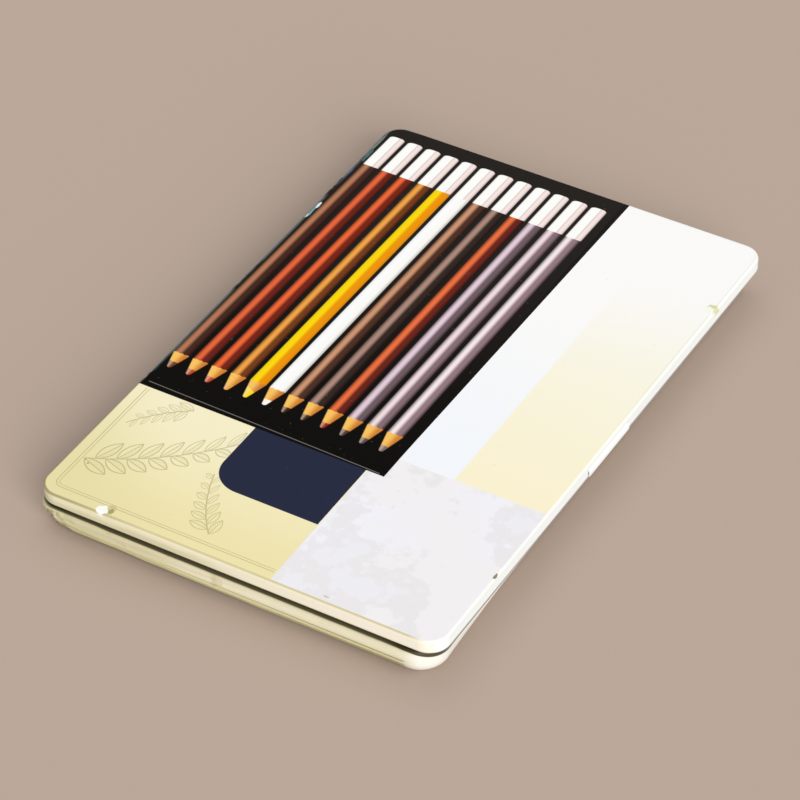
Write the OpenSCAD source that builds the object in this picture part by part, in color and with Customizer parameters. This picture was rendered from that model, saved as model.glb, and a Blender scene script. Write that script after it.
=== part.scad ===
// Flat hinged tinplate tin for a dozen colored pencils
// Frame: X runs along the pencils, -Y is the thumb lip side, +Y the hinge side, Z is up.
// The origin is under the middle of the closed tin, on the surface it rests on.

/* [Pencils] */
// How many pencils lie side by side
pencil_count = 12; // [6:1:14]
// Length of one pencil
pencil_length = 175; // [150:1:180]
// Width of one pencil across its flats
pencil_flats = 7.3; // [6.8:0.1:7.6]
// Diameter that rounds the six long edges of a pencil
pencil_round_d = 8.1; // [7.9:0.05:8.4]
// Distance from one pencil's middle to the next
pencil_pitch = 9.4; // [9.3:0.1:11]
// Diameter of the colored core
core_d = 3.8; // [2.5:0.1:4.5]
// Length of the sharpened cone
point_length = 17; // [12:1:22]
// Diameter of the blunted tip of the core
tip_d = 0.8; // [0.4:0.1:1.5]
// Chamfer round the dipped end
end_chamfer = 0.6; // [0.2:0.1:1.2]

/* [Tinplate] */
// Thickness of the sheet that both pans are drawn from
sheet = 0.28; // [0.22:0.01:0.34]
// Corner radius of the lid, seen from above
corner_r = 6.2; // [6:0.1:9]
// Radius between the lid's top and its skirt
lid_edge_r = 0.8; // [0.6:0.1:2]
// Depth of the lid's skirt below its top
skirt_depth = 4; // [3.8:0.1:5]
// Height of the folded hem inside the skirt
hem_height = 1.2; // [0.8:0.1:1.6]
// Radius between the base's floor and its walls
bottom_r = 4; // [3:0.1:5]
// Radius of the base's shoulder under the seam
shoulder_r = 0.8; // [0.5:0.1:1.2]
// Outer radius of the curled rim on top of the neck
rim_r = 0.5; // [0.4:0.05:0.7]
// How far the base's thumb side stands back from the lid
thumb_setback = 2.6; // [2:0.1:3.5]
// Corner radius of the base on its thumb side
thumb_corner_r = 8.7; // [8.5:0.1:12]

/* [Clearances] */
// Between the lid's hem and the base's neck
neck_clear = 0.3; // [0.2:0.05:0.5]
// Seam between the lid's hem and the base's shoulder
seam_gap = 1.2; // [0.5:0.05:1.5]
// Between the rim and the underside of the lid's top
rim_gap = 0.3; // [0.2:0.05:0.5]
// Radial running fit of a lid curl on its hinge pin
curl_fit = 0.06; // [0.02:0.01:0.1]
// Radial seat of a hinge pin in the base's knuckles
pin_fit = 0.01; // [0.01:0.01:0.03]
// Along the pin, between a lid curl and a knuckle
knuckle_gap = 0.3; // [0.2:0.05:0.5]
// Between a pencil's long edges and its groove
groove_clear = 0.3; // [0.2:0.05:0.5]
// End play of a pencil in its groove, each way
end_play = 1.5; // [1:0.1:3]
// Free height over the pencils under the lid
head_room = 1.29; // [1:0.01:3]
// Between the tray's flange and the base's rim
flange_play = 0.3; // [0.2:0.05:0.6]
// Between the tray's outer wall and the bend of the floor
foot_play = 0.4; // [0.3:0.05:0.8]
// Between the outermost grooves and the tray's outer wall
side_play = 0.85; // [0.3:0.05:1]

/* [Hinge and thumb lip] */
// How far the hinge curls stand proud of the lid
curl_proud = 0.7; // [0.6:0.05:0.8]
// Diameter of a hinge pin
pin_d = 1.2; // [1:0.05:1.3]
// Distance of each hinge from the middle of the tin
hinge_x = 52; // [30:1:60]
// Width of a curled tongue of the lid
curl_width = 9; // [6:0.5:14]
// Width of each knuckle of the base
knuckle_width = 3; // [2:0.5:5]
// Depth of the hinge pins below the base's shoulder
pin_drop = 0.92; // [0.88:0.01:1.1]
// Free ring round a turning curl
curl_room = 0.3; // [0.2:0.05:0.4]
// Length of the thumb lip
lip_length = 23.4; // [15:0.1:35]
// Place of the thumb lip along the tin
lip_x = -2; // [-10:0.5:10]
// Width of the slit at each end of the thumb lip
lip_slit = 0.4; // [0.3:0.05:0.8]
// Height of the flared lip
lip_height = 2.3; // [1.8:0.1:2.5]
// How far the thumb lip stands proud of the lid
lip_proud = 0.45; // [0.4:0.05:0.7]

/* [Tray] */
// Wall of the vacuum-formed tray
tray_wall = 0.45; // [0.35:0.05:0.6]
// Height of the grooves' underside over the base's floor
tray_stand = 3.7; // [3:0.1:5]
// How far the ridges lie below the pencils' middle
ridge_drop = 1.5; // [1:0.1:2]
// Start of the finger well, from the middle towards the dipped ends
well_start = 50; // [40:1:55]
// Length of the finger well
well_length = 26; // [18:1:28]
// Gap between the finger well and the base's floor
well_stand = 0.3; // [0.3:0.05:1]
// From the end of the grooves to the outside of the lid
end_margin = 8.5; // [8:0.1:12]

/* [Label] */
// Thickness of the paper label
label_thick = 0.1; // [0.08:0.01:0.2]
// Length of the label along the pencils
label_length = 142.6; // [100:0.1:150]
// Width of the label
label_width = 79.6; // [60:0.1:90]
// Corner radius of the label where it meets the lid's corner
label_corner_r = 5; // [3:0.1:8]
// From the label's edge to the bend of the lid
label_inset = 0.1; // [0.1:0.05:1]

/* [Hidden] */
$fn = 64;
over = 1;
pencil_sides = 6;
half_turn = 180 / pencil_sides;
pencil_across = pencil_flats / cos(half_turn);
groove_r = pencil_round_d / 2 + groove_clear;
groove_length = pencil_length + 2 * end_play;
groove_z = sheet + tray_stand + tray_wall + groove_r;
ridge_z = groove_z - ridge_drop;
tin_height = groove_z + pencil_flats / 2 + head_room + sheet;
tin_length = groove_length + 2 * end_margin;

// Steps in from the lid's outside
wall_in = bottom_r + foot_play;
neck_in = 2 * sheet + neck_clear;
flange_in = neck_in + 2 * rim_r + flange_play;
row_width = (pencil_count - 1) * pencil_pitch + 2 * (groove_r + tray_wall);
hinge_margin = wall_in + tray_wall + side_play;
thumb_margin = thumb_setback + wall_in + tray_wall + side_play;
tin_width = row_width + hinge_margin + thumb_margin;
row_y = (thumb_margin - hinge_margin) / 2;

// Plan of the base, with its thumb side set back
half_x = tin_length / 2;
half_y = tin_width / 2;
thumb_y = -half_y + thumb_setback;
thumb_corner_x = half_x - thumb_corner_r;
thumb_corner_y = thumb_y + thumb_corner_r;

// Radius at a corner's middle that its swept floor or top leaves to the plate
eye_r = 0.5;

// Heights of the pans
skirt_z = tin_height - skirt_depth;
shoulder_z = skirt_z - seam_gap;
rim_z = tin_height - sheet - rim_gap;

// Hinge
curl_in_r = pin_d / 2 + curl_fit;
curl_out_r = curl_in_r + sheet;
pin_y = half_y + curl_proud - curl_out_r;
pin_z = shoulder_z - pin_drop;
tongue_z = skirt_z + hem_height;
room_r = curl_out_r + curl_room;
pin_length = curl_width + 2 * (knuckle_gap + knuckle_width);
curl_end = 160;

// Deep enough to cut the skirt and the hem behind it
hem_cut = 3 * sheet;

// Quarter of a disc, in the quadrant that two signs give
module quarter_disc(r, side_x, side_z) {
  intersection() {
    circle(r);
    translate([side_x < 0 ? -r : 0, side_z < 0 ? -r : 0]) square(r);
  }
}

// Section of a filled pan side: its outer face is at right, its inner end at left
module side_section(left, right, low, high, low_r, high_r) {
  low_end = low_r > 0 ? [[right - low_r, low], [right, low + low_r]] : [[right, low]];
  high_end = high_r > 0 ? [[right, high - high_r], [right - high_r, high]] : [[right, high]];
  polygon(concat([[left, low]], low_end, high_end, [[left, high]]));
  if (low_r > 0) translate([right - low_r, low + low_r]) quarter_disc(low_r, 1, -1);
  if (high_r > 0) translate([right - high_r, high - high_r]) quarter_disc(high_r, 1, 1);
}

// Ring of sheet seen end on
module curl_section(outer_r, inner_r) {
  difference() {
    circle(outer_r);
    circle(inner_r);
  }
}

// Straight side of a pan: the section's outer face lies at distance, between two places along it
module straight_side(distance, from, to, turn) {
  rotate([0, 0, turn]) translate([distance, to, 0])
    rotate([90, 0, 0]) linear_extrude(to - from) children();
}

// Round corner of a pan, turning from one angle to another
module round_corner(x, y, r, from, to) {
  translate([x, y, 0]) rotate([0, 0, from]) rotate_extrude(angle = to - from)
    translate([r, 0]) children();
}

// Rectangle with round corners in plan
module round_plate(x0, x1, y0, y1, r) {
  translate([x0 + r, y0]) square([x1 - x0 - 2 * r, y1 - y0]);
  translate([x0, y0 + r]) square([x1 - x0, y1 - y0 - 2 * r]);
  for (x = [x0 + r, x1 - r], y = [y0 + r, y1 - r]) translate([x, y]) circle(r);
}

// Section of the base's sheet: floor, wall, shoulder, neck and curled rim
module base_section(reach) {
  neck = -neck_in;
  difference() {
    union() {
      side_section(-reach, 0, 0, shoulder_z, bottom_r, shoulder_r);
      translate([-reach, bottom_r]) square([reach + neck, rim_z - rim_r - bottom_r]);
    }
    side_section(-reach - over, -sheet, sheet, shoulder_z - sheet, bottom_r - sheet, shoulder_r - sheet);
    translate([-reach - over, bottom_r]) square([reach + over + neck - sheet, rim_z]);
  }
  translate([neck - rim_r, rim_z - rim_r]) difference() {
    curl_section(rim_r, rim_r - sheet);
    translate([-rim_r - over, -rim_r - over]) square([rim_r + over, rim_r + over]);
    translate([0, -rim_r - over]) square([rim_r - sheet, rim_r + over]);
  }
}

// Section of the lid's sheet: top, skirt and closed hem
module lid_section(reach) {
  difference() {
    side_section(-reach, 0, skirt_z + sheet, tin_height, 0, lid_edge_r);
    side_section(-reach - over, -sheet, skirt_z, tin_height - sheet, 0, lid_edge_r - sheet);
  }
  translate([-sheet, skirt_z + sheet]) {
    quarter_disc(sheet, 1, -1);
    quarter_disc(sheet, -1, -1);
    translate([-sheet, 0]) square([sheet, hem_height - sheet]);
  }
}

// Turning room of the lid's curls, seen along the hinge
module curl_room_section() {
  translate([pin_y, pin_z]) circle(room_r);
  translate([half_y - neck_in, pin_z]) square([neck_in + over, shoulder_z - pin_z + over]);
}

// Something drawn in the YZ plane, given a length along X about a place
module along_x(x, length) {
  translate([x - length / 2, 0, 0]) rotate([90, 0, 90]) linear_extrude(length) children();
}

// Drawn base with its set-back thumb side, hinge windows and pin knuckles
module base_pan() {
  floor_in = (bottom_r + corner_r) / 2;
  floor_lap = 1.2;
  side_reach = corner_r - eye_r;
  thumb_reach = thumb_corner_r - eye_r;
  floor_thumb = thumb_y + bottom_r + floor_lap;
  color([0.93, 0.89, 0.78]) difference() {
    union() {
      // hinge side and its corners
      straight_side(half_y, -(half_x - corner_r), half_x - corner_r, 90) base_section(side_reach);
      round_corner(half_x - corner_r, half_y - corner_r, corner_r, 0, 90) base_section(side_reach);
      round_corner(-half_x + corner_r, half_y - corner_r, corner_r, 90, 180) base_section(side_reach);
      // short sides
      straight_side(half_x, thumb_corner_y, half_y - corner_r, 0) base_section(side_reach);
      straight_side(half_x, -half_y + corner_r, -thumb_corner_y, 180) base_section(side_reach);
      // thumb side and its wider corners
      for (side = [0, 1]) mirror([side, 0, 0])
        round_corner(-thumb_corner_x, thumb_corner_y, thumb_corner_r, 180, 270) base_section(thumb_reach);
      straight_side(-thumb_y, -thumb_corner_x, thumb_corner_x, 270) base_section(thumb_reach);
      // middle of the floor
      translate([-half_x + floor_in, floor_thumb, 0])
        cube([2 * (half_x - floor_in), half_y - floor_in - floor_thumb, sheet]);
      // knuckles that hold the pins
      for (x = [-hinge_x, hinge_x], side = [-1, 1])
        along_x(x + side * (pin_length - knuckle_width) / 2, knuckle_width)
          translate([pin_y, pin_z]) circle(curl_out_r);
    }
    // windows where the lid's curls turn, and the bores of the knuckles
    for (x = [-hinge_x, hinge_x]) {
      along_x(x, curl_width + 2 * knuckle_gap) curl_room_section();
      along_x(x, pin_length + 2 * over) translate([pin_y, pin_z]) circle(pin_d / 2 + pin_fit);
    }
  }
}

// Steel pin of one hinge
module hinge_pin(x) {
  color([0.7, 0.7, 0.72]) along_x(x, pin_length) translate([pin_y, pin_z]) circle(pin_d / 2);
}

// Curled tongue of the lid, seen along the hinge
module tongue_section() {
  reach_outer = norm([half_y - pin_y, tongue_z - pin_z]);
  reach_inner = norm([half_y - sheet - pin_y, tongue_z - pin_z]);
  angle_outer = atan2(tongue_z - pin_z, half_y - pin_y) - acos(curl_out_r / reach_outer);
  angle_inner = atan2(tongue_z - pin_z, half_y - sheet - pin_y) - acos(curl_in_r / reach_inner);
  outer_meet = curl_out_r * [cos(angle_outer), sin(angle_outer)];
  inner_meet = curl_in_r * [cos(angle_inner), sin(angle_inner)];
  // the ring is left open past the tongue, round to the curl's free end
  far = 3 * curl_out_r;
  open_steps = 3;
  open_turns = [for (k = [1:open_steps]) angle_outer + k * (curl_end - angle_outer) / open_steps];
  translate([pin_y, pin_z]) {
    polygon([
      [half_y - sheet - pin_y, tongue_z - pin_z],
      [half_y - pin_y, tongue_z - pin_z],
      outer_meet,
      inner_meet
    ]);
    difference() {
      curl_section(curl_out_r, curl_in_r);
      polygon(concat([[0, 0], inner_meet, outer_meet], [for (t = open_turns) far * [cos(t), sin(t)]]));
    }
  }
}

// Flared thumb lip, seen along the lid: out from the skirt, then down to a folded edge
module lip_section() {
  flare_z = skirt_z + lip_height;
  drop = lip_proud + sheet;
  lap = sheet / 3;
  polygon([
    [0, flare_z],
    [lip_proud, flare_z - drop],
    [lip_proud, skirt_z + sheet],
    [lip_proud - sheet, skirt_z + sheet],
    [lip_proud - sheet, flare_z - drop - lap],
    [-sheet, flare_z - lap]
  ]);
  translate([lip_proud - sheet, skirt_z + sheet]) {
    quarter_disc(sheet, 1, -1);
    quarter_disc(sheet, -1, -1);
    translate([-sheet, 0]) square([sheet, sheet]);
  }
  translate([-sheet, flare_z - lap]) square([sheet, lap + sheet]);
}

// Drawn lid with its folded hem, thumb lip and two curled tongues
module lid() {
  top_in = (lid_edge_r + corner_r) / 2;
  side_x = half_x - corner_r;
  side_y = half_y - corner_r;
  reach = corner_r - eye_r;
  lip_gap = lip_length + 2 * lip_slit;
  color([0.95, 0.93, 0.87]) union() {
    difference() {
      union() {
        for (turn = [0, 180]) {
          straight_side(half_x, -side_y, side_y, turn) lid_section(reach);
          straight_side(half_y, -side_x, side_x, turn + 90) lid_section(reach);
        }
        for (q = [[1, 1, 0], [-1, 1, 90], [-1, -1, 180], [1, -1, 270]])
          round_corner(q[0] * side_x, q[1] * side_y, corner_r, q[2], q[2] + 90) lid_section(reach);
        translate([-half_x + top_in, -half_y + top_in, tin_height - sheet])
          cube([2 * (half_x - top_in), 2 * (half_y - top_in), sheet]);
      }
      // slits and cut-away skirt at the thumb lip
      translate([lip_x - lip_gap / 2, -half_y - over, skirt_z - over])
        cube([lip_gap, over + hem_cut, over + lip_height]);
      // hem and skirt left out at the tongues
      for (x = [-hinge_x, hinge_x])
        translate([x - curl_width / 2 - knuckle_gap, half_y - hem_cut, skirt_z - over])
          cube([curl_width + 2 * knuckle_gap, over + hem_cut, over + hem_height]);
    }
    translate([lip_x, -half_y, 0]) rotate([90, 0, -90])
      translate([0, 0, -lip_length / 2]) linear_extrude(lip_length) lip_section();
    for (x = [-hinge_x, hinge_x]) along_x(x, curl_width) tongue_section();
  }
}

// Paper label stuck on the lid, in its hinge side corner over the dipped ends
module picture_label() {
  x1 = half_x - lid_edge_r - label_inset;
  y1 = half_y - lid_edge_r - label_inset;
  color([0.1, 0.09, 0.08]) translate([0, 0, tin_height]) linear_extrude(label_thick) {
    translate([x1 - label_length, y1 - label_width]) square([label_length - label_corner_r, label_width]);
    translate([x1 - label_length, y1 - label_width]) square([label_length, label_width - label_corner_r]);
    translate([x1 - label_corner_r, y1 - label_corner_r]) circle(label_corner_r);
  }
}

// Middles of the pencils across the tin, the first on the hinge side
function pencil_y(i) = row_y - (i - (pencil_count + 1) / 2) * pencil_pitch;

// One round groove for each pencil, as a solid of the given radius and ends
module grooves(r, extra) {
  for (i = [1:pencil_count]) translate([-groove_length / 2 - extra, pencil_y(i), groove_z])
    rotate([0, 90, 0]) cylinder(r = r, h = groove_length + 2 * extra);
}

// Vacuum-formed tray: grooves, finger well, outer wall and flange, open from below
module insert_tray() {
  x_foot = half_x - wall_in;
  y_low = thumb_y + wall_in;
  y_high = half_y - wall_in;
  x_rim = half_x - flange_in;
  rim_low = thumb_y + flange_in;
  rim_high = half_y - flange_in;
  first = pencil_y(pencil_count) - groove_r;
  last = pencil_y(1) + groove_r;
  well_z = sheet + well_stand;
  color([0.93, 0.92, 0.89]) difference() {
    union() {
      translate([0, 0, ridge_z - tray_wall]) linear_extrude(tray_wall)
        round_plate(-x_rim, x_rim, rim_low, rim_high, corner_r - flange_in);
      translate([0, 0, sheet]) linear_extrude(ridge_z - sheet) difference() {
        round_plate(-x_foot, x_foot, y_low, y_high, corner_r - wall_in);
        round_plate(-x_foot + tray_wall, x_foot - tray_wall, y_low + tray_wall, y_high - tray_wall,
          corner_r - wall_in - tray_wall);
      }
      intersection() {
        grooves(groove_r + tray_wall, tray_wall);
        translate([-half_x, -half_y, 0]) cube([2 * half_x, 2 * half_y, ridge_z]);
      }
      translate([well_start - tray_wall, first - tray_wall, well_z])
        cube([well_length + 2 * tray_wall, last - first + 2 * tray_wall, ridge_z - well_z]);
    }
    grooves(groove_r, 0);
    translate([well_start, first, well_z + tray_wall])
      cube([well_length, last - first, ridge_z]);
  }
}

// Round outline that a pencil is shaped within, its tip at the origin, along Z
module pencil_outline() {
  r = pencil_round_d / 2;
  rotate_extrude() polygon([
    [0, 0],
    [tip_d / 2, 0],
    [r, point_length],
    [r, pencil_length - end_chamfer],
    [r - end_chamfer, pencil_length],
    [0, pencil_length]
  ]);
}

// Lays a pencil of the given number in its groove, tip towards -X
module in_groove(i) {
  translate([-pencil_length / 2, pencil_y(i), groove_z]) rotate([0, 90, 0]) children();
}

// Sharpened six-sided wood casing, bored for its core
module pencil_casing(i) {
  paint = [
    [0.32, 0.20, 0.14], [0.78, 0.25, 0.12], [0.84, 0.30, 0.12], [0.80, 0.52, 0.14],
    [0.94, 0.76, 0.20], [0.92, 0.91, 0.88], [0.38, 0.24, 0.18], [0.22, 0.19, 0.18],
    [0.82, 0.28, 0.14], [0.60, 0.53, 0.58], [0.70, 0.62, 0.63], [0.76, 0.69, 0.69]
  ];
  color(paint[(i - 1) % len(paint)]) in_groove(i) difference() {
    intersection() {
      rotate([0, 0, half_turn]) cylinder(d = pencil_across, h = pencil_length, $fn = pencil_sides);
      pencil_outline();
    }
    translate([0, 0, -over]) cylinder(d = core_d, h = pencil_length + 2 * over);
  }
}

// Colored core, pointed with its casing
module pencil_core(i) {
  color([0.5, 0.3, 0.25]) in_groove(i) intersection() {
    cylinder(d = core_d, h = pencil_length);
    pencil_outline();
  }
}

base_pan();
hinge_pin(-hinge_x);  // hinge_pin_near
hinge_pin(hinge_x);  // hinge_pin_far
insert_tray();
lid();
picture_label();
for (i = [1:pencil_count]) {
  pencil_casing(i);
  pencil_core(i);
}
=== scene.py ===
# Flat hinged tinplate tin for a dozen colored pencils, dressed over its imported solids
import math

import bmesh
import bpy
from mathutils import Matrix, Vector


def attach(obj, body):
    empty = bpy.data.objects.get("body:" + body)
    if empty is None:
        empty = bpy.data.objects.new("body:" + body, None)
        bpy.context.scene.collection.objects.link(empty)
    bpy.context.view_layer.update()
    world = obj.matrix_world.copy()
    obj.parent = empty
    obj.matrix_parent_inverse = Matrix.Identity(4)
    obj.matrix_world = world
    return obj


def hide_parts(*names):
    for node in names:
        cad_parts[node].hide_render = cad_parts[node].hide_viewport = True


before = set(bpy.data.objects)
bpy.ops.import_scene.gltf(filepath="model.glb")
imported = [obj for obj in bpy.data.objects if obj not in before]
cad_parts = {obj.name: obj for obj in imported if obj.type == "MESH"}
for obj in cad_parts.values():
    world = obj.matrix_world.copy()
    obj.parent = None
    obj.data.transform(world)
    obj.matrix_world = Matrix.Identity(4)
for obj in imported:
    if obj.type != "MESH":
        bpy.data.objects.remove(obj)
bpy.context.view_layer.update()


# Table, lamps and camera
# The closed tin lies on a plain warm table top, near end and thumb side towards the camera.
# Wide soft lamps stand all round, so each face shows about the colour that it is printed in.
camera_place = Vector((-0.71748, -0.41136, 0.69700))
camera_aim = Vector((0.66187, 0.38367, -0.64399))
focal_pixels = 3777.0
image_pixels = 800.0
sensor_width = 36.0
table_radius = 5.0
table_ink = (187, 168, 154)
table_cloud_ink = (196, 178, 165)
key_lamp = {"energy": 2.5, "spread": 40, "turn": -130, "height": 27}
top_lamp = {"energy": 0.60, "spread": 60, "turn": 35, "height": 62}
sky_strength = 0.56


def ink(red, green, blue):
    """A printed colour, given as a screen shows it, in the linear numbers that shaders take."""
    parts = [c / 255 for c in (red, green, blue)]
    return tuple(p / 12.92 if p <= 0.04045 else ((p + 0.055) / 1.055) ** 2.4 for p in parts) + (1.0,)


class Tone:
    """A number or colour that flows through one finish; operators on it add Math nodes."""

    def __init__(self, finish, socket):
        self.finish = finish
        self.socket = socket

    def __add__(self, other):
        return self.finish.maths("ADD", self, other)

    def __radd__(self, other):
        return self.finish.maths("ADD", other, self)

    def __sub__(self, other):
        return self.finish.maths("SUBTRACT", self, other)

    def __rsub__(self, other):
        return self.finish.maths("SUBTRACT", other, self)

    def __mul__(self, other):
        return self.finish.maths("MULTIPLY", self, other)

    def __rmul__(self, other):
        return self.finish.maths("MULTIPLY", other, self)

    def __truediv__(self, other):
        return self.finish.maths("DIVIDE", self, other)

    def __lt__(self, other):
        return self.finish.maths("LESS_THAN", self, other)

    def __gt__(self, other):
        return self.finish.maths("GREATER_THAN", self, other)

    def __abs__(self):
        return self.finish.maths("ABSOLUTE", self)


class Finish:
    """The recipe of one material: its nodes, and the masks and colours that its maker mixes."""

    def __init__(self, name):
        self.material = bpy.data.materials.new(name)
        self.material.use_nodes = True
        self.tree = self.material.node_tree
        self.tree.nodes.clear()
        self.out = self.tree.nodes.new("ShaderNodeOutputMaterial")

    def node(self, kind, settings, sockets):
        made = self.tree.nodes.new(kind)
        for key, value in settings.items():
            if key == "stops":
                ramp = made.color_ramp
                ramp.interpolation = "CONSTANT"
                while len(ramp.elements) < len(value):
                    ramp.elements.new(1.0)
                for element, (place, colour) in zip(ramp.elements, value):
                    element.position = place
                    element.color = colour
            else:
                setattr(made, key, value)
        for key, value in sockets.items():
            if isinstance(value, Tone):
                self.tree.links.new(value.socket, made.inputs[key])
            else:
                made.inputs[key].default_value = value
        return made

    def tone(self, made, output=0):
        return Tone(self, made.outputs[output])

    def maths(self, operation, first, second=0.0):
        return self.tone(self.node("ShaderNodeMath", {"operation": operation}, {0: first, 1: second}))

    def most(self, first, second):
        return self.maths("MAXIMUM", first, second)

    def least(self, first, second):
        return self.maths("MINIMUM", first, second)

    def mix(self, share, under, over):
        made = self.node("ShaderNodeMix", {"data_type": "RGBA"}, {0: share, 6: under, 7: over})
        return self.tone(made, 2)

    def ease(self, value, start, end):
        """0 before start, 1 past end, and a smooth rise between them."""
        made = self.node(
            "ShaderNodeMapRange",
            {"interpolation_type": "SMOOTHSTEP"},
            {"Value": value, "From Min": start, "From Max": end},
        )
        return self.tone(made)

    def within(self, value, low, high):
        return (value > low) * (value < high)

    def place(self):
        """Where the surface is on the tin, in millimetres."""
        where = self.node("ShaderNodeTexCoord", {}, {})
        parts = self.node("ShaderNodeSeparateXYZ", {}, {"Vector": self.tone(where, "Object")})
        return [self.tone(parts, axis) * 1000.0 for axis in ("X", "Y", "Z")]

    def grain(self, scale, detail=3.0, stretch=(1.0, 1.0, 1.0), roughness=0.5):
        """Cloudy noise; scale counts its patches in a metre."""
        where = self.node("ShaderNodeTexCoord", {}, {})
        turned = self.node("ShaderNodeMapping", {}, {"Vector": self.tone(where, "Object"), "Scale": stretch})
        noise = self.node(
            "ShaderNodeTexNoise",
            {},
            {"Vector": self.tone(turned), "Scale": scale, "Detail": detail, "Roughness": roughness},
        )
        return self.tone(noise)

    def surface(self, colour, rough, relief, depth, **fixed):
        """Closes the recipe: colour, roughness and relief vary, and the fixed sockets are numbers."""
        bump = self.node("ShaderNodeBump", {}, {"Strength": 1.0, "Distance": depth, "Height": relief})
        sockets = {"Base Color": colour, "Roughness": rough, "Normal": self.tone(bump)}
        sockets.update({key.replace("_", " "): value for key, value in fixed.items()})
        made = self.node("ShaderNodeBsdfPrincipled", {}, sockets)
        self.tree.links.new(made.outputs[0], self.out.inputs["Surface"])
        return self.material


def wear_finish(thing, material):
    """Gives a piece its one material."""
    thing.data.materials.clear()
    thing.data.materials.append(material)


table = bpy.data.objects.new("table_top", bpy.data.meshes.new("table_top"))
disc = bmesh.new()
bmesh.ops.create_circle(disc, cap_ends=True, segments=96, radius=table_radius)
disc.to_mesh(table.data)
disc.free()
bpy.context.scene.collection.objects.link(table)
board = Finish("table_paint")
wear_finish(
    table,
    board.surface(
        board.mix(board.grain(6.0) * 0.06, ink(*table_ink), ink(*table_cloud_ink)),
        0.9 - board.grain(40.0) * 0.1,
        board.grain(900.0),
        0.00002,
        Specular_IOR_Level=0.1,
    ),
)

for name, lamp in (("key_lamp", key_lamp), ("top_lamp", top_lamp)):
    light = bpy.data.lights.new(name, "SUN")
    light.energy = lamp["energy"]
    light.angle = math.radians(lamp["spread"])
    holder = bpy.data.objects.new(name, light)
    turn, height = math.radians(lamp["turn"]), math.radians(lamp["height"])
    level_reach = math.cos(height)
    towards = Vector((math.cos(turn) * level_reach, math.sin(turn) * level_reach, math.sin(height)))
    holder.rotation_mode = "QUATERNION"
    holder.rotation_quaternion = towards.to_track_quat("Z", "Y")
    bpy.context.scene.collection.objects.link(holder)

sky = bpy.data.worlds.new("studio")
sky.use_nodes = True
sky.node_tree.nodes.clear()
ray = sky.node_tree.nodes.new("ShaderNodeLightPath")
lit = sky.node_tree.nodes.new("ShaderNodeBackground")
lit.inputs["Strength"].default_value = sky_strength
seen = sky.node_tree.nodes.new("ShaderNodeBackground")
seen.inputs["Color"].default_value = ink(*table_ink)
either = sky.node_tree.nodes.new("ShaderNodeMixShader")
shown = sky.node_tree.nodes.new("ShaderNodeOutputWorld")
sky.node_tree.links.new(ray.outputs["Is Camera Ray"], either.inputs[0])
sky.node_tree.links.new(lit.outputs[0], either.inputs[1])
sky.node_tree.links.new(seen.outputs[0], either.inputs[2])
sky.node_tree.links.new(either.outputs[0], shown.inputs["Surface"])
bpy.context.scene.world = sky
bpy.context.scene.view_settings.view_transform = "Standard"

lens = bpy.data.cameras.new("camera")
lens.sensor_width = sensor_width
lens.lens = focal_pixels / image_pixels * sensor_width
lens.clip_start = 0.05
lens.clip_end = 20.0
camera = bpy.data.objects.new("camera", lens)
camera.location = camera_place
camera.rotation_mode = "QUATERNION"
camera.rotation_quaternion = camera_aim.to_track_quat("-Z", "Y")
bpy.context.scene.collection.objects.link(camera)
bpy.context.scene.camera = camera


# Base
# One sheet of tinplate drawn into a pan, with a shoulder, a neck that the lid closes round and a curled rim.
# Cream lacquer covers it. Its thumb side swings in under the lid, which leaves room for a thumb.
half_length = 97.5
half_width = 63.5
corner_radius = 6.2
shoulder_height = 8.8
neck_low = 7.9
weld_distance = 0.000002
cut_distance = 0.000001
cad_set_in, near_set_in, far_set_in = 2.6, 1.7, 3.35
swing_start, swing_end, swing_cuts = -30.0, -88.8, 32
thumb_zone, still_edge, swung_edge = -50.0, -45.0, -51.5
dent_zone_x, dent_zone_y = -88.0, 54.0
dent_middle, dent_reach, dent_full = 1.5, 9.0, 9.0 - 9.0 / 1.4
dent_first, dent_step, dent_rows = 0.5, 0.66, 12
dent_depth = 0.8
crush_depth = 1.7
spread_width = 0.55
base_cream = (243, 237, 209)
base_olive = (215, 210, 164)
base_dark = (160, 150, 108)
base_white = (246, 246, 239)
streak_ink = (214, 206, 160)
rubbed_ink = (184, 172, 128)
fold_shade, fold_highlight = (140, 130, 84), (250, 244, 216)
seam_shade_ink = (56, 48, 22)
neck_shade_ink = (22, 22, 10)
shade_ink = (150, 150, 142)
bare_rim_ink = (186, 184, 176)

pan = bpy.data.objects.new("base_tin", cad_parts["base_pan"].data.copy())
pan.data.name = "base_tin"
bpy.context.scene.collection.objects.link(pan)
shape = bmesh.new()
shape.from_mesh(pan.data)
bmesh.ops.remove_doubles(shape, verts=shape.verts, dist=weld_distance)


def cut_across(mesh, faces, place, normal):
    """Cuts some faces of a mesh along a plane."""
    parts = faces + list({e for f in faces for e in f.edges}) + list({v for f in faces for v in f.verts})
    bmesh.ops.bisect_plane(mesh, geom=parts, dist=cut_distance, plane_co=place, plane_no=normal)


def share(value, start, end):
    """0 before start, 1 past end, and a straight rise between them."""
    return min(max((value - start) / (end - start), 0.0), 1.0)


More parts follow.
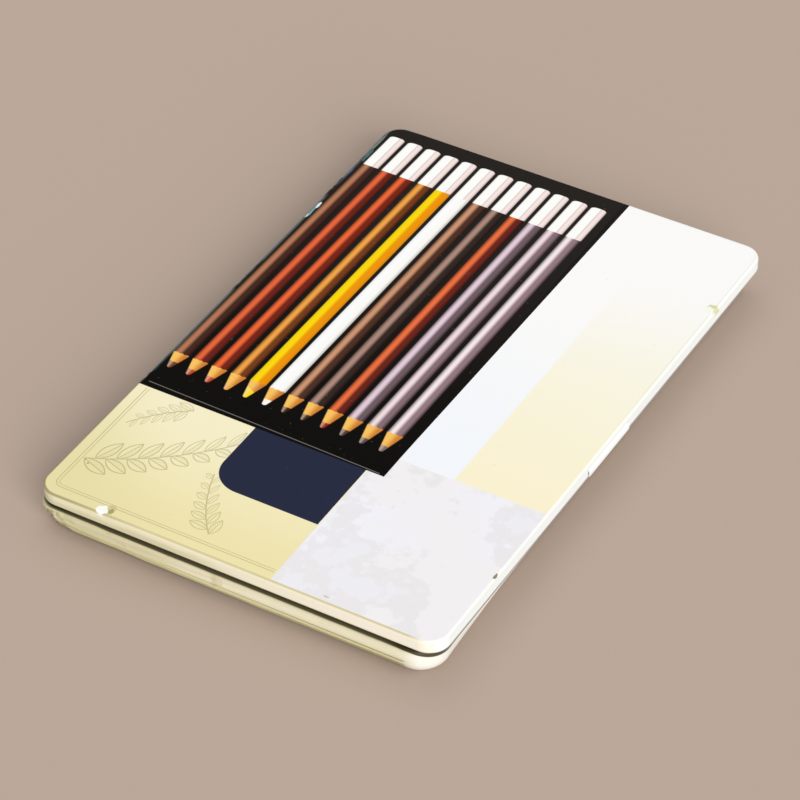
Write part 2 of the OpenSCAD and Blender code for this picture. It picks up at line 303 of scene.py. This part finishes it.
for step in range(swing_cuts):
    across = (swing_start + (swing_end - swing_start) * step / swing_cuts) / 1000
    thumb_faces = [f for f in shape.faces if min(v.co.y for v in f.verts) < thumb_zone / 1000]
    cut_across(shape, thumb_faces, (across, 0, 0), (1, 0, 0))
for step in range(1, dent_rows + 1):
    level = (dent_first + step * dent_step) / 1000
    hinge_faces = [f for f in shape.faces if max(v.co.y for v in f.verts) > dent_zone_y / 1000]
    dented = [f for f in hinge_faces if f.calc_center_median().x < dent_zone_x / 1000]
    cut_across(shape, dented, (0, 0, level), (0, 0, 1))
for corner in shape.verts:
    where = corner.co * 1000
    held = share(where.y, still_edge, swung_edge) * share(where.z, shoulder_height + 0.05, neck_low)
    swing = share(where.x, swing_start, swing_end)
    set_in = far_set_in + (near_set_in - far_set_in) * swing * swing
    corner.co.y += held * (set_in - cad_set_in) / 1000
    # the knocked corner: dents round the near hinge side corner, crushed low down and spread at the seam
    away = math.hypot(where.x + half_length - dent_middle, where.y - half_width + dent_middle)
    close = share(away, dent_reach, dent_full)
    knock = close * min(share(where.z, 1.0, 2.0), share(where.z, 6.8, 5.8))
    spread = close * close * min(share(where.z, 5.6, 6.6), share(where.z, 8.9, 8.4))
    crush = close * share(where.z, 6.0, 2.0)
    ripple = 0.5 + 0.5 * math.sin(where.z * 2.1 + where.y * 2.6) * math.cos(where.x * 2.9 - where.z * 1.4)
    outward = Vector((where.x + half_length - corner_radius, where.y - half_width + corner_radius, 0.0))
    if close > 0 and outward.length > 0.1:
        pressed = knock * ripple * dent_depth - spread * spread_width
        pressed += crush * min(outward.length / corner_radius, 1.0) * crush_depth
        corner.co -= outward.normalized() * pressed / 1000
        corner.co.x = max(corner.co.x, -half_length / 1000)
        corner.co.y = min(corner.co.y, half_width / 1000)
shape.to_mesh(pan.data)
shape.free()
if pan.data.has_custom_normals:
    pan.data.attributes.remove(pan.data.attributes["custom_normal"])
pan.data.shade_smooth()
pan.data.set_sharp_from_angle(angle=math.radians(30))

lacquer = Finish("base_lacquer")
x, y, z = lacquer.place()
cloud = lacquer.grain(45.0, 5.0)
rub = lacquer.grain(110.0, 6.0)
speck = lacquer.grain(420.0, 5.0)
streak = lacquer.grain(60.0, 3.0, (1.0, 1.0, 7.0))

# cream, going olive at the hinge end and down the bend to the underside, with olive painted shade under the
# seam
hinge_end = lacquer.ease(y, 5.0, 42.0) * lacquer.ease(x, -80.0, -96.0)
paint = lacquer.mix(hinge_end * 0.62, ink(*base_cream), ink(*base_olive))
# painted shade: olive on the base just below the lid's edge
paint = lacquer.mix(lacquer.ease(z + (rub - 0.5) * 0.8, 7.0, 8.3) * 0.8, paint, ink(*base_olive))
paint = lacquer.mix(lacquer.ease(z + (streak - 0.5) * 2.4, 5.7, 3.9) * 0.9, paint, ink(*base_olive))
paint = lacquer.mix(lacquer.ease(z + (rub - 0.5) * 0.6, 3.6, 1.8) * 0.9, paint, ink(*base_dark))
paint = lacquer.mix(lacquer.ease(streak, 0.50, 0.70) * 0.36, paint, ink(*streak_ink))
paint = lacquer.mix(lacquer.ease(rub, 0.62, 0.70) * 0.4, paint, ink(*rubbed_ink))

# white on the thumb side, but for the near corner under the seam
near_shade = lacquer.ease(x, -88.0, -95.0) * lacquer.ease(z, 6.4, 7.8) * 0.7
thumb_white = lacquer.ease(y, -50.0, -58.0) * (1.0 - near_shade)
paint = lacquer.mix(thumb_white * 0.92, paint, ink(*base_white))

# painted shade and highlight on the folds of the knocked corner
knocked = lacquer.ease(x, -90.0, -96.0) * lacquer.ease(y, 52.0, 60.0) * lacquer.ease(z, 8.4, 7.4)
folds = lacquer.grain(300.0, 4.0, (1.0, 1.0, 0.35))
paint = lacquer.mix(knocked * lacquer.ease(folds, 0.50, 0.56) * 0.8, paint, ink(*fold_shade))
paint = lacquer.mix(knocked * lacquer.ease(folds, 0.46, 0.40) * 0.8, paint, ink(*fold_highlight))

# painted shade of the dark seam under the lid's edge, on the shoulder, and black painted shade on the neck at
# the near hinge corner
near_hinge = lacquer.ease(x, -90.0, -93.0) * lacquer.ease(y, 30.0, 60.0)
seam_height = z + (rub - 0.5) * 0.3 - near_hinge * 0.3
seam_painted_shade = lacquer.ease(seam_height, shoulder_height - 0.85, shoulder_height - 0.30)
paint = lacquer.mix(seam_painted_shade * 0.95, paint, ink(*seam_shade_ink))
neck_painted_shade = lacquer.ease(z, shoulder_height - 0.05, shoulder_height + 0.10)
neck_painted_shade = neck_painted_shade * lacquer.ease(x, -92.0, -94.0) * lacquer.ease(y, 50.0, 57.0)
paint = lacquer.mix(neck_painted_shade, paint, ink(*neck_shade_ink))

# Shade line on the thumb side. It stands where the photo's camera sees the lid's edge cross the base, by the
# slope of that camera's sight line, so it is right from there only and shows as a grey stripe from the side.
lid_edge_height = 10.0
sight_x, sight_y = 1.028, 0.596
drop = lid_edge_height - z
line_x = lacquer.most(abs(x - drop * sight_x) - (half_length - corner_radius), 0.0)
line_y = lacquer.most(abs(y - drop * sight_y) - (half_width - corner_radius), 0.0)
past_edge = lacquer.maths("SQRT", line_x * line_x + line_y * line_y) - corner_radius
rounded = lacquer.ease(y, -46.0, -56.0)
line_width = 1.45 + rounded * 0.4 - lacquer.ease(x, -95.0, -86.0) * rounded * 1.1
shade_line = lacquer.ease(past_edge, line_width + 0.15, line_width - 0.15)
shade_line = shade_line * lacquer.ease(past_edge, -0.9, -0.5) * lacquer.ease(y, -46.0, -52.0)
shade_line_ink = lacquer.mix(lacquer.ease(x, -93.0, -84.0), ink(*seam_shade_ink), ink(*shade_ink))
paint = lacquer.mix(shade_line * 0.95, paint, shade_line_ink)

# bare tin on the upper neck and the rim
paint = lacquer.mix(z > (shoulder_height + 1.4), paint, ink(*bare_rim_ink))
wear_finish(
    pan,
    lacquer.surface(
        paint,
        0.36 + rub * 0.18,
        cloud * 1.2 + rub * 0.5 + speck * 0.06 + knocked * rub * 2.0,
        0.00018,
        Specular_IOR_Level=0.3,
    ),
)
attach(pan, "base")
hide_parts("base_pan")


# Hinge pins
# Two short lengths of steel wire, held in the knuckles that are curled from the base.
# The lid's two tongues are curled round them and turn on them.
steel_dark, steel_light = (150, 148, 142), (192, 190, 184)
wire = Finish("pin_wire")
drawn = wire.grain(3000.0, 2.0, (0.05, 1.0, 1.0))
pin_finish = wire.surface(
    wire.mix(drawn, ink(*steel_dark), ink(*steel_light)),
    0.3 + drawn * 0.2,
    drawn,
    0.00001,
    Metallic=1.0,
)
for pin in ("hinge_pin_near", "hinge_pin_far"):
    wear_finish(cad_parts[pin], pin_finish)


# Tray
# Thin plastic sheet, vacuum-formed over a mould, with twelve grooves and a well for a fingertip.
# It drops into the base and stands on its outer wall.
tray_shade, tray_light = (224, 220, 210), (236, 233, 225)
formed = Finish("tray_sheet")
flow = formed.grain(60.0, 4.0)
matt = formed.grain(1800.0, 2.0)
tray_finish = formed.surface(
    formed.mix(flow, ink(*tray_shade), ink(*tray_light)),
    0.38 + matt * 0.12,
    matt * 0.3 + flow,
    0.00006,
)
wear_finish(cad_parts["insert_tray"], tray_finish)


# Pencils
# Six-sided cedar casings glued round a colored core, dipped in lacquer and sharpened in one cut.
# The far end is dipped once more in white. The cut shows bare wood with a scalloped edge of lacquer.
pencil_count = 12
pencil_pitch = 9.4
pencil_row_middle = 1.45
pencil_axis_height = 8.78
pencil_length = 175.0
point_length = 17.0
tip_radius = 0.4
round_radius = 4.05
core_radius = 1.9
dip_length = 13.0
dip_ink = (244, 241, 236)
cedar_dark, cedar_light = (196, 142, 92), (226, 178, 126)
painted_gain, core_gain = 26, 22
pencil_inks = [
    ((96, 60, 44), (70, 38, 26)),
    ((196, 70, 34), (176, 52, 30)),
    ((206, 84, 36), (196, 72, 30)),
    ((206, 138, 48), (190, 116, 36)),
    ((250, 204, 30), (246, 196, 20)),
    ((246, 245, 240), (244, 243, 238)),
    ((112, 72, 54), (84, 46, 32)),
    ((62, 54, 50), (34, 30, 28)),
    ((212, 76, 40), (202, 60, 30)),
    ((148, 132, 148), (120, 104, 124)),
    ((190, 168, 174), (170, 142, 150)),
    ((214, 194, 198), (202, 178, 182)),
]
for number, (painted, core) in enumerate(pencil_inks, 1):
    middle = pencil_row_middle - (number - (pencil_count + 1) / 2) * pencil_pitch
    casing = Finish(f"pencil_paint_{number}")
    x, y, z = casing.place()
    from_tip = x + pencil_length / 2
    off_side = y - middle
    off_height = z - pencil_axis_height
    out = casing.maths("SQRT", off_side * off_side + off_height * off_height)
    cone = from_tip * ((round_radius - tip_radius) / point_length) + tip_radius
    cut = ((cone - out) < 0.04) * (from_tip < point_length + 0.5)
    bare_wood = casing.most(cut, out < core_radius + 0.05)
    fibre = casing.grain(260.0, 5.0, (0.06, 1.0, 1.0))
    wood = casing.mix(fibre, ink(*cedar_dark), ink(*cedar_light))
    flakes = casing.grain(500.0, 3.0, (0.2, 1.0, 1.0))
    gloss = casing.mix(flakes * 0.25, ink(*painted), ink(*[min(c + painted_gain, 255) for c in painted]))
    gloss = casing.mix(from_tip > (pencil_length - dip_length), gloss, ink(*dip_ink))
    wear_finish(
        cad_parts[f"pencil_casing_{number}"],
        casing.surface(
            casing.mix(bare_wood, gloss, wood),
            bare_wood * 0.42 + 0.24,
            bare_wood * fibre + flakes * 0.1,
            0.00008,
            Coat_Roughness=0.1,
        ),
    )
    lead = Finish(f"pencil_core_{number}")
    wax = lead.grain(1500.0, 4.0)
    streak = lead.grain(500.0, 3.0, (1.0, 0.2, 0.2))
    wear_finish(
        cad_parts[f"pencil_core_{number}"],
        lead.surface(
            lead.mix(wax, ink(*core), ink(*[min(c + core_gain, 255) for c in core])),
            0.5 + wax * 0.2,
            wax * 0.5 + streak,
            0.00006,
        ),
    )


# Lid
# Tinplate printed flat and drawn into a shallow pan, its hem folded and two tongues curled round the pins.
# The print is cream and pale grey fields with a navy tab, and sprays of leaves on the cream.
lid_top = 14.0
edge_radius = 0.8
label_wrap = 12.9
skirt_low = 10.0
cream_near = (241, 229, 174)
cream_label = (248, 240, 202)
cream_dull = (233, 223, 170)
cream_right = (252, 243, 209)
cream_middle = (251, 247, 226)
pale_grey = (245, 242, 243)
cloud_grey = (237, 234, 236)
cool_grey = (244, 244, 252)
white = (253, 252, 250)
navy = (32, 37, 62)
print_black = (14, 11, 8)
olive_ink = (178, 170, 118)
reflection_olive = (203, 190, 144)
reflection_dark = (160, 150, 98)
skirt_hinge = (239, 235, 198)
skirt_near = (253, 248, 232)
skirt_thumb, thumb_bend = (247, 252, 252), (238, 241, 237)
skirt_dull_ink, skirt_foot, skirt_highlight_ink = (217, 211, 178), (206, 200, 160), (255, 249, 224)
band_white = (246, 249, 253)
hem_shade = (140, 146, 136)
pale_reflection = (222, 228, 220)
torn_grey, torn_blue = (150, 154, 152), (40, 52, 120)
rubbed_olive, fleck_ink = (196, 184, 140), (150, 140, 110)
tin_dark, tin_light = (196, 196, 190), (214, 213, 205)
label_edge_x = -45.95
label_edge_y = -16.86
label_slant = 0.0121
field_split_y = -11.7
tab_left, tab_high, tab_low, tab_radius = -71.9, 24.4, -11.4, 9.5

print_work = Finish("lid_print")
x, y, z = print_work.place()
along_rim = print_work.most(abs(x) - (half_length - corner_radius), 0.0)
across_rim = print_work.most(abs(y) - (half_width - corner_radius), 0.0)
rim_depth = corner_radius - print_work.maths("SQRT", along_rim * along_rim + across_rim * across_rim)
bend_out = print_work.most(edge_radius - rim_depth, 0.0)
bend_up = print_work.most(z - (lid_top - edge_radius), 0.0)
sheet_depth = edge_radius - print_work.maths("SQRT", bend_out * bend_out + bend_up * bend_up)
inside = (sheet_depth > 0.14) * (z < lid_top - 0.1)

cloud = print_work.grain(14.0, 3.0)
patch = print_work.grain(32.0, 2.0)
fleck = print_work.grain(700.0, 4.0)
rub = print_work.grain(120.0, 6.0)
scuff = print_work.grain(60.0, 8.0, (1.0, 1.0, 1.0), 0.7)

# fields of the flat print
near_cream = print_work.mix(print_work.ease(x, -97.0, -48.0), ink(*cream_near), ink(*cream_label))
dull = print_work.ease(y - x * 0.8, 88.0, 136.0)
near_cream = print_work.mix(dull, near_cream, ink(*cream_dull))
marble = print_work.grain(52.0, 6.0, (1.0, 1.0, 1.0), 0.6)
grey_field = print_work.mix(print_work.ease(patch, 0.42, 0.60) * 0.8, ink(*pale_grey), ink(*cool_grey))
grey_field = print_work.mix(print_work.ease(marble, 0.47, 0.52) * 0.9, grey_field, ink(*cloud_grey))
grey_field = print_work.mix(print_work.ease(marble, 0.56, 0.60) * 0.5, grey_field, ink(*cool_grey))
fields = print_work.mix(y < field_split_y, near_cream, grey_field)
right_cream = print_work.mix(print_work.ease(x, -45.0, 35.0), ink(*cream_right), ink(*cream_middle))
right_cream = print_work.mix(print_work.ease(x + y * 0.2, 0.0, 66.0), right_cream, ink(*white))
fields = print_work.mix(print_work.ease(x, -38.2, -36.6), fields, right_cream)
band = print_work.ease(y, -34.7, -34.1) * (x > -37.6)
band_ink = print_work.mix(print_work.ease(x, -30.0, 50.0), ink(*band_white), ink(*white))
fields = print_work.mix(band, fields, band_ink)

# navy tab with one round corner
tab_x = print_work.most(tab_left + tab_radius - x, 0.0)
tab_y = print_work.most(y - (tab_high - tab_radius), 0.0)
tab_out = print_work.maths("SQRT", tab_x * tab_x + tab_y * tab_y)
tab = print_work.ease(tab_out, tab_radius + 0.12, tab_radius - 0.12)
tab = tab * (y > tab_low) * (x < label_edge_x + 1.0)
fields = print_work.mix(tab, fields, ink(*navy))

# sprays of leaves and a double border, engraved in thin olive line on the near cream
border_outer, border_inner = 3.6, 4.5
leaf_lean = 0.72
leaf_rise = math.sqrt(1 - leaf_lean * leaf_lean)
border = print_work.ease(abs(rim_depth - border_outer), 0.20, 0.08)
engraving = print_work.most(border, print_work.ease(abs(rim_depth - border_inner), 0.16, 0.06))
for start_x, start_y, turn, length, leaf_length, curve in (
    (-80.5, 58.5, -67, 62.0, 9.5, 0.0062),
    (-48.5, 43.0, 122, 19.0, 5.6, 0.0120),
    (-90.0, 12.0, 42, 24.0, 6.5, -0.0100),
):
    cosine, sine = math.cos(math.radians(turn)), math.sin(math.radians(turn))
    along = (x - start_x) * cosine + (y - start_y) * sine
    aside = (y - start_y) * cosine - (x - start_x) * sine - along * along * curve
    stem = print_work.ease(abs(aside), 0.26, 0.10) * print_work.within(along, 0.0, length)
    engraving = print_work.most(engraving, stem)
    pitch = leaf_length * 0.62
    shifted = along - (aside > 0.0) * (pitch * 0.5)
    cell = print_work.maths("FLOOR", shifted / pitch)
    for behind in (0, 1):
        base = cell - behind
        alive = print_work.within(base * pitch, -0.1, length - leaf_length * 0.5)
        shrink = 1.0 - base * (pitch / length * 0.55)
        ahead = shifted - base * pitch
        reach = (ahead * leaf_lean + abs(aside) * leaf_rise) / (shrink * leaf_length)
        spread = (abs(aside) * leaf_lean - ahead * leaf_rise) / (shrink * leaf_length)
        swell = reach * (1.0 - reach) * 0.82
        on_leaf = print_work.within(reach, 0.0, 1.0) * alive
        rim = print_work.ease(abs(abs(spread) - swell), 0.030, 0.012)
        rib = print_work.ease(abs(spread), 0.024, 0.008)
        vein = print_work.maths("FRACT", (reach - abs(spread) * 1.1) * 8.0)
        vein = print_work.ease(vein, 0.24, 0.10) * (abs(spread) < swell) * (spread < 0.0)
        leaf = print_work.most(print_work.most(rim, rib), vein * 0.8) * on_leaf
        engraving = print_work.most(engraving, leaf)
on_near_cream = (y > field_split_y + 0.6) * (x < label_edge_x - 0.6) * (1.0 - tab)
fields = print_work.mix(engraving * on_near_cream * 0.72, fields, ink(*olive_ink))

# the label's black shows past its slanted thumb side and near edges
under_label = ((y + (x - label_edge_x) * label_slant) > label_edge_y) * (x > label_edge_x)
fields = print_work.mix(under_label, fields, ink(*print_black))

# rim: a painted dark reflection inside the bend, then lighter lacquer down the skirt
thumb_side = print_work.ease(y, -61.0, -62.4)
far_side = print_work.ease(x, 94.0, 96.0)
hinge_end = print_work.ease(y, 25.0, 58.0)
# painted dark reflection inside the bend, darker at the hinge end
bend_dark_reflection = print_work.ease(abs(rim_depth - (0.42 - hinge_end * 0.14)), 0.46, 0.12)
bend_dark_reflection = bend_dark_reflection * (1.0 - thumb_side) * (1.0 - far_side) * (z > 13.25) * print_work.ease(y, -61.0, -53.0)
skirt = print_work.mix(print_work.ease(y, 48.0, -52.0), ink(*skirt_hinge), ink(*skirt_near))
# darker towards the skirt's lower part, at the hinge end of the near side
low_skirt_dull = print_work.ease(z + (rub - 0.5) * 2.0, 12.4, 11.2) * print_work.ease(y, -8.0, 22.0)
skirt = print_work.mix(low_skirt_dull * 0.85, skirt, ink(*skirt_dull_ink))
skirt = print_work.mix(print_work.ease(z, 10.9, 10.2) * 0.4, skirt, ink(*skirt_foot))
thumb_skirt = print_work.mix(print_work.ease(z, 13.0, 13.4), ink(*skirt_thumb), ink(*thumb_bend))
skirt = print_work.mix(thumb_side, skirt, thumb_skirt)
# painted highlight in a band where the bend meets the skirt, off the thumb side
skirt_highlight = print_work.ease(abs(z - 13.2), 0.45, 0.10) * (1.0 - thumb_side)
skirt = print_work.mix(skirt_highlight * 0.35, skirt, ink(*skirt_highlight_ink))
past_bend = print_work.ease(rim_depth, 0.70, 0.35)
colour = print_work.mix(past_bend * (1.0 - under_label * (z > label_wrap)), fields, skirt)
reflection_ink = print_work.mix(hinge_end, ink(*reflection_olive), ink(*reflection_dark))
colour = print_work.mix(bend_dark_reflection * (1.0 - under_label) * 0.9, colour, reflection_ink)
# painted shade line along the hem, on the far half of the thumb side
hem_shade_line = print_work.ease(z, skirt_low + 0.42, skirt_low + 0.22) * print_work.ease(x, -30.0, 20.0)
colour = print_work.mix(hem_shade_line * thumb_side, colour, ink(*hem_shade))
# a fainter painted dark reflection inside the bend on the thumb side's far half
thin_bend_reflection = print_work.ease(abs(rim_depth - 0.95), 0.22, 0.06) * print_work.ease(x, -12.0, 30.0)
colour = print_work.mix(thin_bend_reflection * (z > 13.9) * thumb_side * 0.6, colour, ink(*pale_reflection))

# torn print over the hinge side bend, grey metal with a blue patch
torn = under_label * print_work.ease(rim_depth, 0.80, 0.70) * (z > label_wrap) * print_work.ease(y, 52.0, 58.0)
colour = print_work.mix(torn * print_work.ease(scuff, 0.36, 0.50) * 0.85, colour, ink(*torn_grey))
torn_patch = print_work.within(x, 58.0, 66.0) * print_work.ease(rub, 0.40, 0.5)
colour = print_work.mix(torn * torn_patch, colour, ink(*torn_blue))

# wear: rubbed edges, chips with pale torn lacquer beside olive marks and a painted dent shadow, and specks
outer = (1.0 - inside) * (z > 12.8)
ragged = (print_work.grain(900.0, 3.0) - 0.5) * 1.6
rubbed = print_work.ease(rub, 0.60, 0.68) * past_bend * outer * (1.0 - under_label) * (1.0 - thumb_side)
colour = print_work.mix(rubbed * 0.45, colour, ink(*rubbed_olive))
for spot_x, spot_y, wide, long, spot_ink, strength in (
    # olive painted shadow of a dent beside the white chip at the near end, in two spots
    (-94.6, 40.2, 1.6, 1.2, (206, 194, 134), 0.8),
    (-95.6, 39.8, 1.1, 0.7, (150, 140, 86), 0.7),
    (-96.2, 42.3, 1.7, 1.7, (254, 253, 247), 1.0),
    (65.0, -62.0, 2.1, 1.9, (214, 212, 152), 0.85),
    (64.0, -61.5, 1.8, 1.5, (252, 251, 243), 1.0),
    (-65.6, -62.9, 1.3, 0.42, (134, 128, 96), 0.95),
    (-95.2, -28.0, 0.35, 0.8, (208, 188, 174), 0.8),
    (-80.9, 57.8, 0.3, 0.3, (150, 142, 96), 0.8),
    (-81.9, 56.4, 0.3, 0.3, (150, 142, 96), 0.8),
):
    away_x, away_y = (x - spot_x) / wide, (y - spot_y) / long
    away = print_work.maths("SQRT", away_x * away_x + away_y * away_y) + ragged
    chip_and_dent_shadow = print_work.ease(away, 1.08, 0.90) * outer
    colour = print_work.mix(chip_and_dent_shadow * strength, colour, ink(*spot_ink))
colour = print_work.mix(print_work.ease(fleck, 0.70, 0.74) * 0.10, colour, ink(*fleck_ink))

# bare tin inside
bare_tin = print_work.mix(cloud, ink(*tin_dark), ink(*tin_light))
colour = print_work.mix(inside, colour, bare_tin)
wear_finish(
    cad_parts["lid"],
    print_work.surface(
        colour,
        0.26 + scuff * 0.16,
        cloud * 0.8 + rub * 0.12 + fleck * 0.03,
        0.00015,
        Metallic=inside * 0.6,
        Specular_IOR_Level=0.06,
    ),
)


# Label
# Coated paper, printed black with a row of a dozen pencils and stuck on the lid in its hinge side corner.
# The pictured pencils lie along the tin, with their points towards the near end.
row_first = 59.03
row_pitch = 6.39
row_slant = 0.0112
row_spread = 0.0003
tip_first, tip_drift = -36.1, -0.12
cone_end = -29.0
dip_first, dip_drift = 75.1, -0.09
end_first, end_drift = 91.8, -0.075
picture_half = 0.395
picture_lift = 0.03
tip_half = 0.085
lead_length = 2.7
line_place = -45.24
line_slant = 0.0216
row_shade, white_shade = (20, 12, 8), (202, 188, 178)
dip_light, dip_shade, dip_line = (255, 255, 251), (248, 231, 226), (216, 198, 194)
dip_low, dip_high = (190, 170, 164), (190, 170, 170)
wood_dark, wood_light, wood_fibre = (206, 122, 44), (254, 204, 104), (236, 160, 66)
point_shine = (255, 226, 196)
ground_near, ground_far_reflection = (11, 8, 5), (36, 32, 28)
line_ink, dust_ink, paper_ink, edge_highlight_ink = (150, 146, 138), (170, 164, 150), (60, 56, 50), (150, 156, 156)
lit_side = [
    (186, 126, 92), (238, 106, 62), (246, 108, 56), (250, 170, 74), (254, 222, 8), (255, 255, 255),
    (212, 154, 118), (178, 142, 128), (244, 116, 66), (236, 212, 224), (248, 228, 232), (253, 238, 240),
]
dark_side = [
    (70, 38, 30), (106, 34, 24), (120, 36, 20), (118, 60, 24), (240, 150, 4), (253, 252, 248),
    (78, 48, 36), (52, 38, 32), (106, 36, 26), (112, 92, 99), (134, 110, 116), (148, 122, 128),
]
point_ink = [
    (116, 62, 42), (190, 74, 44), (196, 74, 46), (236, 168, 66), (255, 222, 30), (255, 255, 252),
    (62, 34, 22), (66, 44, 34), (160, 42, 24), (74, 60, 58), (96, 80, 80), (128, 110, 112),
]

picture = Finish("label_print")
x, y, z = picture.place()
level = y + x * row_slant
number = picture.maths("FLOOR", (row_first + row_pitch / 2 - level) / row_pitch)
number = picture.least(picture.most(number, 0.0), pencil_count - 1.0)
row_place = number * (1 / pencil_count) + 0.5 / pencil_count
aside = (level - number * x * row_spread - row_first) / row_pitch + number
from_tip = x - (number * tip_drift + tip_first)
cone_length = cone_end - (number * tip_drift + tip_first)
to_end = (number * end_drift + end_first) - x


def row_colours(inks):
    """The colours of the pictured pencils, picked by their place in the row."""
    stops = [(index / pencil_count, ink(*value)) for index, value in enumerate(inks)]
    return picture.tone(picture.node("ShaderNodeValToRGB", {"stops": stops}, {"Fac": row_place}))


# one pictured pencil: its outline, its lit and dark sides, and the shadow between neighbours
width = picture.least(from_tip / cone_length * (picture_half - tip_half) + tip_half, picture_half)
side_share = (aside - picture_lift) / picture_half
round_end = side_share * side_share
outline = picture.ease(abs(aside - picture_lift) - width, 0.03, -0.03)
outline = outline * picture.ease(from_tip - round_end * 4.0, -0.05, 0.25)
shown = outline * picture.ease(to_end - round_end * round_end * 0.8, -0.1, 0.1)
lit_row, dark_row = row_colours(lit_side), row_colours(dark_side)
streaks = picture.grain(900.0, 4.0, (0.05, 1.0, 1.0))
pale = picture.within(number, 3.5, 5.5)
body = picture.mix(picture.ease(aside, -0.04, 0.18), dark_row, lit_row)
body = picture.mix(streaks * 0.12, body, dark_row)
shadow = picture.ease(aside, -0.14, -0.40)
shadow = picture.most(shadow, picture.ease(aside, 0.22, 0.48)) * (1.0 - pale * 0.85)
body = picture.mix(shadow * 0.96, body, ink(*row_shade))
white_row = picture.within(number, 4.5, 5.5)
body = picture.mix(white_row * picture.ease(aside, -0.18, -0.36) * 0.6, body, ink(*white_shade))

# white dipped ends
dip_white = picture.mix(picture.ease(aside, -0.08, -0.03), ink(*dip_shade), ink(*dip_light))
dip_white = picture.mix(picture.ease(abs(aside + 0.07), 0.06, 0.02) * 0.6, dip_white, ink(*dip_line))
dip_white = picture.mix(picture.ease(aside, -0.24, -0.36) * 0.6, dip_white, ink(*dip_low))
dip_white = picture.mix(picture.ease(aside, 0.34, 0.42) * 0.25, dip_white, ink(*dip_high))
body = picture.mix(picture.ease(x - (number * dip_drift + dip_first), -0.1, 0.1), body, dip_white)

# sharpened wood with a scalloped edge, and the colored points
scallop = abs(picture.maths("SINE", aside * (1.5 * math.pi / picture_half)))
wood = picture.mix(picture.ease(aside, -0.22, 0.16), ink(*wood_dark), ink(*wood_light))
wood = picture.mix(picture.grain(1300.0, 3.0) * 0.35, wood, ink(*wood_fibre))
cut_edge = cone_length - scallop * 0.30 + 0.15 - from_tip
body = picture.mix(picture.ease(cut_edge, -0.08, 0.08), body, wood)
lead_edge = lead_length + picture.grain(160.0, 2.0) * 1.2 - 0.6 - from_tip
lead_edge = lead_edge + picture.within(number, 3.5, 4.5) * (1.0 + aside * 3.0)
points = picture.mix(picture.ease(aside, -0.02, 0.10) * 0.35, row_colours(point_ink), ink(*point_shine))
body = picture.mix(picture.ease(lead_edge, -0.12, 0.12), body, points)

# black ground, lighter towards the far end as a painted reflection, a fine line along its near end, dust, and
# the paper's cut edge
ground = picture.mix(picture.ease(x, -45.0, 96.0), ink(*ground_near), ink(*ground_far_reflection))
line = picture.ease(abs(x - y * line_slant - line_place), 0.20, 0.10) * picture.within(y, -15.4, 61.0)
ground = picture.mix(line * 0.55, ground, ink(*line_ink))
paper_edge = z < (lid_top + 0.06)
print_colour = picture.mix(shown, ground, body)
dust = picture.grain(800.0, 4.0)
print_colour = picture.mix(picture.ease(dust, 0.69, 0.73) * 0.10, print_colour, ink(*dust_ink))
print_colour = picture.mix(paper_edge * 0.5, print_colour, ink(*paper_ink))

# slivers torn from the label's hinge side edge
for sliver_x, sliver_y, half_long, half_wide, sliver_ink in (
    (47.5, 62.3, 4.2, 0.55, (120, 172, 178)),
    (50.6, 61.9, 1.6, 0.40, (240, 248, 246)),
    (44.4, 62.5, 1.2, 0.35, (232, 244, 244)),
    (70.2, 62.2, 1.5, 0.40, (44, 56, 118)),
    (79.5, 61.9, 3.4, 0.45, (74, 112, 108)),
    (87.0, 62.3, 4.5, 0.30, (120, 134, 124)),
):
    off_x, off_y = (x - sliver_x) / half_long, (y - sliver_y) / half_wide
    off = picture.maths("SQRT", off_x * off_x + off_y * off_y) + (picture.grain(700.0, 3.0) - 0.5) * 1.4
    print_colour = picture.mix(picture.ease(off, 1.1, 0.9) * 0.85, print_colour, ink(*sliver_ink))
# painted highlight along the label's hinge side edge
edge_highlight = picture.ease(y, 61.9, 62.4) * picture.ease(picture.grain(60.0, 5.0), 0.40, 0.55)
print_colour = picture.mix(edge_highlight * 0.35, print_colour, ink(*edge_highlight_ink))
wear_finish(
    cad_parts["picture_label"],
    picture.surface(
        print_colour,
        0.26 + dust * 0.12,
        picture.grain(30.0, 3.0) + dust * 0.05,
        0.00010,
        Specular_IOR_Level=0.02,
    ),
)
